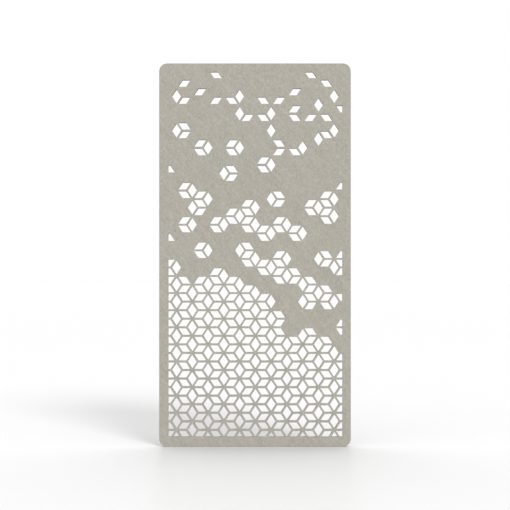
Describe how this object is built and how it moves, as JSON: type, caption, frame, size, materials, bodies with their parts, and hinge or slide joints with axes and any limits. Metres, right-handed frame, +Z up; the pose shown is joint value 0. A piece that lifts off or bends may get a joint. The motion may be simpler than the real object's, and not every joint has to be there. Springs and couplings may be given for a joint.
{
  "type": "hanging acoustic screen",
  "caption": "Tall felt screen with rounded corners, cut with a tumbling-block lattice that breaks up towards the top, hung from concealed swivel sockets in its top edge.",
  "frame": {"origin": "middle of the top edge, halfway between the two hanging sockets", "axes": "+Z up along the height, +X to the right seen from the front, -Y out of the front face"},
  "size_m": [1.2, 0.0242, 2.4],
  "materials": {
    "felt": "heathered pressed felt",
    "film": "adhesive film",
    "rail": "mill finish",
    "housing": "turned, zinc plated",
    "socket": "turned",
    "pin": "rolled spring steel"
  },
  "bodies": {
    "screen": {"front_felt_board": "felt", "rear_felt_board": "felt", "bonding_film": "film", "top_rail": "rail", "left_hanger_housing": "housing", "right_hanger_housing": "housing", "left_thrust_washer": "socket", "right_thrust_washer": "socket", "left_retaining_collar": "housing", "right_retaining_collar": "housing", "left_cross_pins": "pin", "right_cross_pins": "pin"},
    "left_swivel": {"left_swivel_socket": "socket"},
    "right_swivel": {"right_swivel_socket": "socket"}
  },
  "joints": [
    {"name": "left_socket_turn", "type": "hinge", "parent": "screen", "child": "left_swivel", "pos_m": [-0.45, 0, 0], "axis": [0, 0, 1], "continuous": true},
    {"name": "right_socket_turn", "type": "hinge", "parent": "screen", "child": "right_swivel", "pos_m": [0.45, 0, 0], "axis": [0, 0, 1], "continuous": true}
  ]
}
